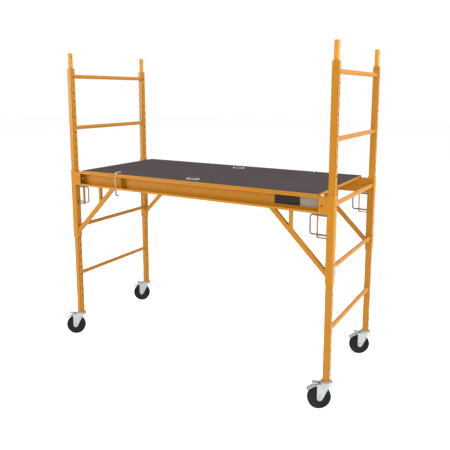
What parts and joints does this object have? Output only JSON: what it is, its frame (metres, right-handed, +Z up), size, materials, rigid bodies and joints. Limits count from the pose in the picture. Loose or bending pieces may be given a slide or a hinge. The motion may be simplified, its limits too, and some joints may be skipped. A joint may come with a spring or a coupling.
{
  "type": "frame scaffold section",
  "caption": "Mobile scaffold section: two ladder end frames on braked swivel casters, joined by pinned side brackets that carry a flat work platform.",
  "frame": {"origin": "on the floor, under the middle of the bounding box", "axes": "+X along the platform from the left end frame to the right one, -Y towards the front rail, +Z up"},
  "size_m": [1.9094, 0.8146, 1.9],
  "materials": {
    "yellow_paint": "satin",
    "zinc": "satin",
    "dark_steel": "satin",
    "spring_steel": "satin",
    "coated_plywood": "matte",
    "wheel_rubber": "satin"
  },
  "bodies": {
    "scaffold": {"post_front_left": "yellow_paint", "post_front_right": "yellow_paint", "post_rear_left": "yellow_paint", "post_rear_right": "yellow_paint", "rungs_left": "yellow_paint", "rungs_right": "yellow_paint", "stacking_spigots": "yellow_paint", "spigot_collars": "yellow_paint", "rail_front": "yellow_paint", "rail_rear": "yellow_paint", "bracket_sleeves": "yellow_paint", "bracket_braces": "yellow_paint", "bracket_struts": "yellow_paint", "rail_end_plates": "yellow_paint", "rail_ribs": "yellow_paint", "lock_guards": "yellow_paint", "deck_panel": "coated_plywood", "deck_edge_frame": "yellow_paint", "deck_cross_bars": "yellow_paint", "deck_rivets": "zinc", "caster_stems": "zinc", "u_lock_springs_front_left": "spring_steel", "u_lock_springs_front_right": "spring_steel", "u_lock_springs_rear_left": "spring_steel", "u_lock_springs_rear_right": "spring_steel", "platform_lock_spring_front": "spring_steel", "platform_lock_spring_rear": "spring_steel"},
    "u_lock_front_left": {"u_lock_front_left": "dark_steel"},
    "sleeve_pin_front_left": {"sleeve_pin_front_left": "zinc"},
    "caster_pin_front_left": {"caster_pin_front_left": "zinc"},
    "caster_front_left": {"caster_fork_front_left": "zinc", "caster_axle_front_left": "zinc"},
    "wheel_front_left": {"caster_wheel_front_left": "wheel_rubber"},
    "pedal_front_left": {"brake_pedal_front_left": "zinc"},
    "u_lock_front_right": {"u_lock_front_right": "dark_steel"},
    "sleeve_pin_front_right": {"sleeve_pin_front_right": "zinc"},
    "caster_pin_front_right": {"caster_pin_front_right": "zinc"},
    "caster_front_right": {"caster_fork_front_right": "zinc", "caster_axle_front_right": "zinc"},
    "wheel_front_right": {"caster_wheel_front_right": "wheel_rubber"},
    "pedal_front_right": {"brake_pedal_front_right": "zinc"},
    "u_lock_rear_left": {"u_lock_rear_left": "dark_steel"},
    "sleeve_pin_rear_left": {"sleeve_pin_rear_left": "zinc"},
    "caster_pin_rear_left": {"caster_pin_rear_left": "zinc"},
    "caster_rear_left": {"caster_fork_rear_left": "zinc", "caster_axle_rear_left": "zinc"},
    "wheel_rear_left": {"caster_wheel_rear_left": "wheel_rubber"},
    "pedal_rear_left": {"brake_pedal_rear_left": "zinc"},
    "u_lock_rear_right": {"u_lock_rear_right": "dark_steel"},
    "sleeve_pin_rear_right": {"sleeve_pin_rear_right": "zinc"},
    "caster_pin_rear_right": {"caster_pin_rear_right": "zinc"},
    "caster_rear_right": {"caster_fork_rear_right": "zinc", "caster_axle_rear_right": "zinc"},
    "wheel_rear_right": {"caster_wheel_rear_right": "wheel_rubber"},
    "pedal_rear_right": {"brake_pedal_rear_right": "zinc"},
    "platform_lock_collar_front": {"platform_lock_collar_front": "zinc"},
    "platform_lock_rod_front": {"platform_lock_rod_front": "zinc"},
    "platform_lock_collar_rear": {"platform_lock_collar_rear": "zinc"},
    "platform_lock_rod_rear": {"platform_lock_rod_rear": "zinc"}
  },
  "joints": [
    {"name": "u_lock_front_left_pull", "type": "slide", "parent": "scaffold", "child": "u_lock_front_left", "axis": [1, 0, 0], "range_m": [0, 0.039], "stiffness_N_per_m": 150, "springref_m": -0.02, "deforming": ["u_lock_springs_front_left"]},
    {"name": "sleeve_pin_front_left_draw", "type": "slide", "parent": "scaffold", "child": "sleeve_pin_front_left", "axis": [-1, 0, 0], "range_m": [0, 0.062]},
    {"name": "caster_pin_front_left_draw", "type": "slide", "parent": "scaffold", "child": "caster_pin_front_left", "axis": [-1, 0, 0], "range_m": [0, 0.062]},
    {"name": "caster_front_left_swivel", "type": "hinge", "parent": "scaffold", "child": "caster_front_left", "pos_m": [-0.85626, -0.33694, 0.145], "axis": [0, 0, 1], "continuous": true},
    {"name": "wheel_front_left_roll", "type": "hinge", "parent": "caster_front_left", "child": "wheel_front_left", "pos_m": [-0.88806, -0.35681, 0.0635], "axis": [0.5299, -0.848, 0], "continuous": true},
    {"name": "pedal_front_left_press", "type": "hinge", "parent": "caster_front_left", "child": "pedal_front_left", "pos_m": [-0.89442, -0.36079, 0.135], "axis": [0.5299, -0.848, 0], "range_deg": [0, 10]},
    {"name": "u_lock_front_right_pull", "type": "slide", "parent": "scaffold", "child": "u_lock_front_right", "axis": [-1, 0, 0], "range_m": [0, 0.039], "stiffness_N_per_m": 150, "springref_m": -0.02, "deforming": ["u_lock_springs_front_right"]},
    {"name": "sleeve_pin_front_right_draw", "type": "slide", "parent": "scaffold", "child": "sleeve_pin_front_right", "axis": [1, 0, 0], "range_m": [0, 0.062]},
    {"name": "caster_pin_front_right_draw", "type": "slide", "parent": "scaffold", "child": "caster_pin_front_right", "axis": [1, 0, 0], "range_m": [0, 0.062]},
    {"name": "caster_front_right_swivel", "type": "hinge", "parent": "scaffold", "child": "caster_front_right", "pos_m": [0.92174, -0.33694, 0.145], "axis": [0, 0, 1], "continuous": true},
    {"name": "wheel_front_right_roll", "type": "hinge", "parent": "caster_front_right", "child": "wheel_front_right", "pos_m": [0.88994, -0.35681, 0.0635], "axis": [0.5299, -0.848, 0], "continuous": true},
    {"name": "pedal_front_right_press", "type": "hinge", "parent": "caster_front_right", "child": "pedal_front_right", "pos_m": [0.88358, -0.36079, 0.135], "axis": [0.5299, -0.848, 0], "range_deg": [0, 10]},
    {"name": "u_lock_rear_left_pull", "type": "slide", "parent": "scaffold", "child": "u_lock_rear_left", "axis": [1, 0, 0], "range_m": [0, 0.039], "stiffness_N_per_m": 150, "springref_m": -0.02, "deforming": ["u_lock_springs_rear_left"]},
    {"name": "sleeve_pin_rear_left_draw", "type": "slide", "parent": "scaffold", "child": "sleeve_pin_rear_left", "axis": [-1, 0, 0], "range_m": [0, 0.062]},
    {"name": "caster_pin_rear_left_draw", "type": "slide", "parent": "scaffold", "child": "caster_pin_rear_left", "axis": [-1, 0, 0], "range_m": [0, 0.062]},
    {"name": "caster_rear_left_swivel", "type": "hinge", "parent": "scaffold", "child": "caster_rear_left", "pos_m": [-0.85626, 0.37426, 0.145], "axis": [0, 0, 1], "continuous": true},
    {"name": "wheel_rear_left_roll", "type": "hinge", "parent": "caster_rear_left", "child": "wheel_rear_left", "pos_m": [-0.88806, 0.35439, 0.0635], "axis": [0.5299, -0.848, 0], "continuous": true},
    {"name": "pedal_rear_left_press", "type": "hinge", "parent": "caster_rear_left", "child": "pedal_rear_left", "pos_m": [-0.89442, 0.35041, 0.135], "axis": [0.5299, -0.848, 0], "range_deg": [0, 10]},
    {"name": "u_lock_rear_right_pull", "type": "slide", "parent": "scaffold", "child": "u_lock_rear_right", "axis": [-1, 0, 0], "range_m": [0, 0.039], "stiffness_N_per_m": 150, "springref_m": -0.02, "deforming": ["u_lock_springs_rear_right"]},
    {"name": "sleeve_pin_rear_right_draw", "type": "slide", "parent": "scaffold", "child": "sleeve_pin_rear_right", "axis": [1, 0, 0], "range_m": [0, 0.062]},
    {"name": "caster_pin_rear_right_draw", "type": "slide", "parent": "scaffold", "child": "caster_pin_rear_right", "axis": [1, 0, 0], "range_m": [0, 0.062]},
    {"name": "caster_rear_right_swivel", "type": "hinge", "parent": "scaffold", "child": "caster_rear_right", "pos_m": [0.92174, 0.37426, 0.145], "axis": [0, 0, 1], "continuous": true},
    {"name": "wheel_rear_right_roll", "type": "hinge", "parent": "caster_rear_right", "child": "wheel_rear_right", "pos_m": [0.88994, 0.35439, 0.0635], "axis": [0.5299, -0.848, 0], "continuous": true},
    {"name": "pedal_rear_right_press", "type": "hinge", "parent": "caster_rear_right", "child": "pedal_rear_right", "pos_m": [0.88358, 0.35041, 0.135], "axis": [0.5299, -0.848, 0], "range_deg": [0, 10]},
    {"name": "platform_lock_front_lift", "type": "slide", "parent": "scaffold", "child": "platform_lock_collar_front", "axis": [0, 0, 1], "range_m": [0, 0.015], "stiffness_N_per_m": 300, "springref_m": -0.02, "deforming": ["platform_lock_spring_front"]},
    {"name": "platform_lock_front_turn", "type": "hinge", "parent": "platform_lock_collar_front", "child": "platform_lock_rod_front", "pos_m": [-0.49726, -0.34484, 1.0559], "axis": [0, 0, 1], "range_deg": [0, 180]},
    {"name": "platform_lock_rear_lift", "type": "slide", "parent": "scaffold", "child": "platform_lock_collar_rear", "axis": [0, 0, 1], "range_m": [0, 0.015], "stiffness_N_per_m": 300, "springref_m": -0.02, "deforming": ["platform_lock_spring_rear"]},
    {"name": "platform_lock_rear_turn", "type": "hinge", "parent": "platform_lock_collar_rear", "child": "platform_lock_rod_rear", "pos_m": [0.56274, 0.38216, 1.0559], "axis": [0, 0, 1], "range_deg": [0, 180]}
  ]
}
